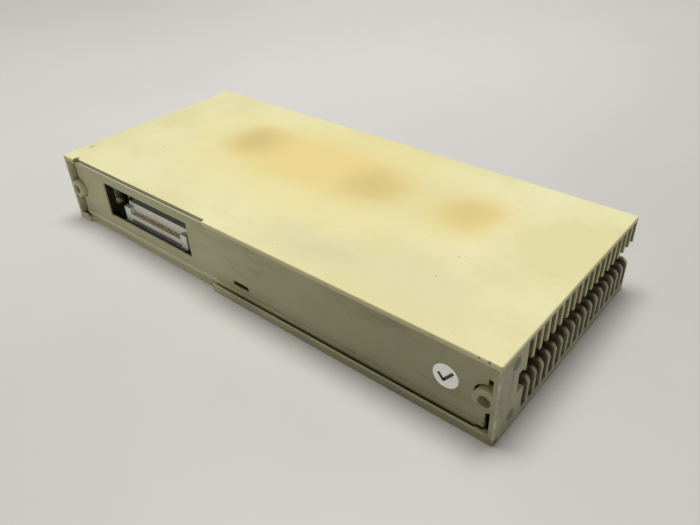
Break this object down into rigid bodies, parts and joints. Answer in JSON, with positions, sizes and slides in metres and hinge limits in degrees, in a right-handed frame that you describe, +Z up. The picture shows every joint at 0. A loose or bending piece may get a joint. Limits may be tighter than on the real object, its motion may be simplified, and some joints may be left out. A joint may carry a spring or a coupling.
{
  "type": "programmable controller rack module",
  "caption": "Long flat cream plastic rack module of a programmable controller with finned vent ends, backplane connector and a hinged terminal cover.",
  "frame": {"origin": "centre of the footprint on the plane the module lies on", "axes": "+X along the long side, +Y from the backplane face to the terminal face, +Z up through the broad side"},
  "size_m": [0.25, 0.1106, 0.036],
  "materials": {
    "aged_case_plastic": "matte, yellowed",
    "label_paper": "matte paper",
    "zinc_screw": "zinc plated",
    "board_laminate": "solder resist",
    "white_connector_plastic": "satin",
    "gold_contact": "gold plated, dull",
    "sink_aluminium": "extruded",
    "black_resin": "moulded resin",
    "tinned_lead": "tinned",
    "capacitor_sleeve": "shrink sleeve",
    "film_capacitor_dip": "dipped",
    "white_resin": "moulded resin",
    "fuse_glass": "clear",
    "red_lamp": "tinted",
    "clear_window": "smoked clear",
    "black_plastic": "moulded",
    "brass_nut": "turned",
    "nickel_plate": "nickel plated",
    "cover_plastic": "matte"
  },
  "bodies": {
    "case": {"lower_shell": "aged_case_plastic", "upper_shell": "aged_case_plastic", "rear_panel": "aged_case_plastic", "round_label": "label_paper", "case_screws": "zinc_screw", "main_board": "board_laminate", "board_screws": "zinc_screw", "backplane_connector": "white_connector_plastic", "connector_contacts": "gold_contact", "heat_sinks": "sink_aluminium", "power_transistors": "black_resin", "transistor_legs": "tinned_lead", "transistor_screws": "zinc_screw", "power_capacitors": "capacitor_sleeve", "film_capacitors": "film_capacitor_dip", "optocouplers": "white_resin", "driver_chips": "black_resin", "bus_chip": "black_resin", "chip_legs": "tinned_lead", "fuse_glass": "fuse_glass", "fuse_caps": "tinned_lead", "fuse_clips": "tinned_lead", "front_bezel": "aged_case_plastic", "indicator_board": "board_laminate", "indicator_lamps": "red_lamp", "indicator_window": "clear_window", "terminal_header": "black_plastic", "header_pins": "gold_contact", "block_nuts": "brass_nut"},
    "block": {"terminal_block": "black_plastic", "terminal_plates": "nickel_plate", "terminal_screws": "zinc_screw"},
    "cover": {"terminal_cover": "cover_plastic"},
    "left_screw": {"block_screw_left": "zinc_screw"},
    "right_screw": {"block_screw_right": "zinc_screw"}
  },
  "joints": [
    {"name": "block_pull", "type": "slide", "parent": "case", "child": "block", "axis": [0, 1, 0], "range_m": [0, 0.014]},
    {"name": "cover_hinge", "type": "hinge", "parent": "block", "child": "cover", "pos_m": [0, 0.05365, 0.0045], "axis": [-1, 0, 0], "range_deg": [0, 100]},
    {"name": "left_screw_turn", "type": "hinge", "parent": "block", "child": "left_screw", "pos_m": [-0.0583, 0.04875, 0.018], "axis": [0, 1, 0], "range_deg": [0, 1800]},
    {"name": "right_screw_turn", "type": "hinge", "parent": "block", "child": "right_screw", "pos_m": [0.1044, 0.04875, 0.018], "axis": [0, 1, 0], "range_deg": [0, 1800]}
  ]
}
